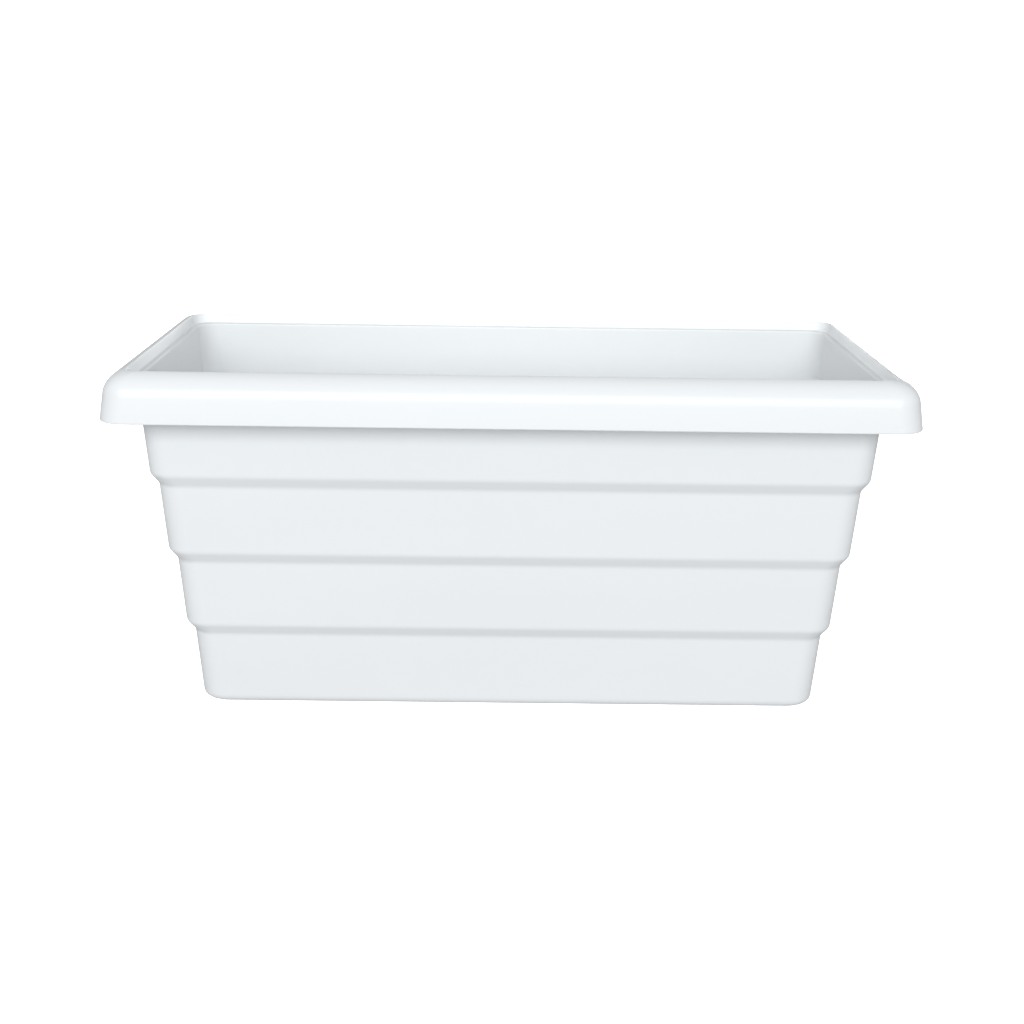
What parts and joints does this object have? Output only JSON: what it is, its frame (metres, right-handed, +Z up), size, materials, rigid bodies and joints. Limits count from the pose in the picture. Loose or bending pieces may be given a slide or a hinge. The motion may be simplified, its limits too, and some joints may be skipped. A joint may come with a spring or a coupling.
{
  "type": "self watering planter",
  "caption": "Long stepped plastic trough with a rolled rim; inside, a false bottom with wicking cups, a filler with a lid and a float level gauge, with an overflow and a drain behind.",
  "frame": {"origin": "centre of the base, on the surface the trough stands on", "axes": "+X along the trough, -Y towards the front, +Z up"},
  "size_m": [0.5, 0.225, 0.2345],
  "materials": {
    "shell_white": "smooth glossy moulded",
    "insert_grey": "fine grained moulded",
    "strainer_grey": "fine grained moulded",
    "lid_grey": "fine grained moulded",
    "gauge_clear": "clear polished",
    "float_white": "plain moulded",
    "signal_red": "glossy moulded",
    "seal_black": "soft matt",
    "pin_steel": "drawn wire"
  },
  "bodies": {
    "planter": {"planter_shell": "shell_white", "overflow_spout": "insert_grey", "overflow_seal": "seal_black", "overflow_nut": "insert_grey"},
    "drain": {"drain_plug": "insert_grey", "drain_seal": "seal_black"},
    "insert": {"soil_platform": "insert_grey", "support_post_1": "insert_grey", "support_post_2": "insert_grey", "support_post_3": "insert_grey", "support_post_4": "insert_grey", "support_post_5": "insert_grey", "support_post_6": "insert_grey", "fill_tube": "insert_grey", "fill_funnel": "insert_grey", "fill_strainer": "strainer_grey", "lid_pin": "pin_steel", "float_cage": "insert_grey", "gauge_tube": "gauge_clear", "gauge_cap": "gauge_clear"},
    "cup_left": {"wick_cup_left": "insert_grey"},
    "cup_right": {"wick_cup_right": "insert_grey"},
    "lid": {"fill_lid": "lid_grey"},
    "float": {"gauge_float": "float_white", "float_rod": "float_white", "float_tip": "signal_red"}
  },
  "joints": [
    {"name": "drain_pull", "type": "slide", "parent": "planter", "child": "drain", "axis": [0, 1, 0], "range_m": [0, 0.03]},
    {"name": "insert_lift", "type": "slide", "parent": "planter", "child": "insert", "axis": [0, 0, 1], "range_m": [0, 0.25]},
    {"name": "cup_left_lift", "type": "slide", "parent": "insert", "child": "cup_left", "axis": [0, 0, 1], "range_m": [0, 0.2]},
    {"name": "cup_right_lift", "type": "slide", "parent": "insert", "child": "cup_right", "axis": [0, 0, 1], "range_m": [0, 0.2]},
    {"name": "lid_hinge", "type": "hinge", "parent": "insert", "child": "lid", "pos_m": [-0.18228, -0.01828, 0.21355], "axis": [-1, 0, 0], "range_deg": [0, 105]},
    {"name": "float_rise", "type": "slide", "parent": "insert", "child": "float", "axis": [0, 0, 1], "range_m": [0, 0.03]}
  ]
}
